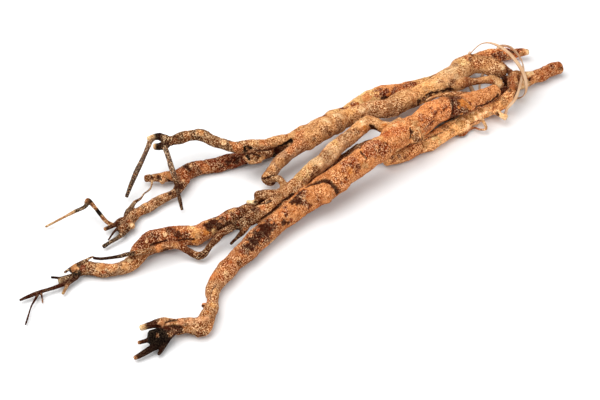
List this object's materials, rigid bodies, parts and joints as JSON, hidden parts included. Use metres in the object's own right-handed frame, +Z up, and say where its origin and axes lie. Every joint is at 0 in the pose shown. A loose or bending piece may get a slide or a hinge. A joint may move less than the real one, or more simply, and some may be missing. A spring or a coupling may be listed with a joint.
{
  "type": "tongkat ali root",
  "caption": "Bundle of long dried tongkat ali roots with forked tips and fine rootlets, tied near the cut heads with a split strip.",
  "frame": {"origin": "under the middle of the bundle, on the surface that it lies on", "axes": "+X along the bundle from the root tips to the cut heads, +Z up"},
  "size_m": [0.5467, 0.1988, 0.0413],
  "materials": {
    "grey_bark": "rough",
    "rust_bark": "rough",
    "orange_bark": "rough",
    "pale_bark": "rough",
    "red_bark": "rough",
    "split_strip": "matte"
  },
  "bodies": {
    "root": {"grey_root": "grey_bark", "rust_root": "rust_bark", "front_root": "orange_bark", "pale_root": "pale_bark", "red_root": "red_bark", "tie_band": "split_strip"}
  },
  "joints": []
}
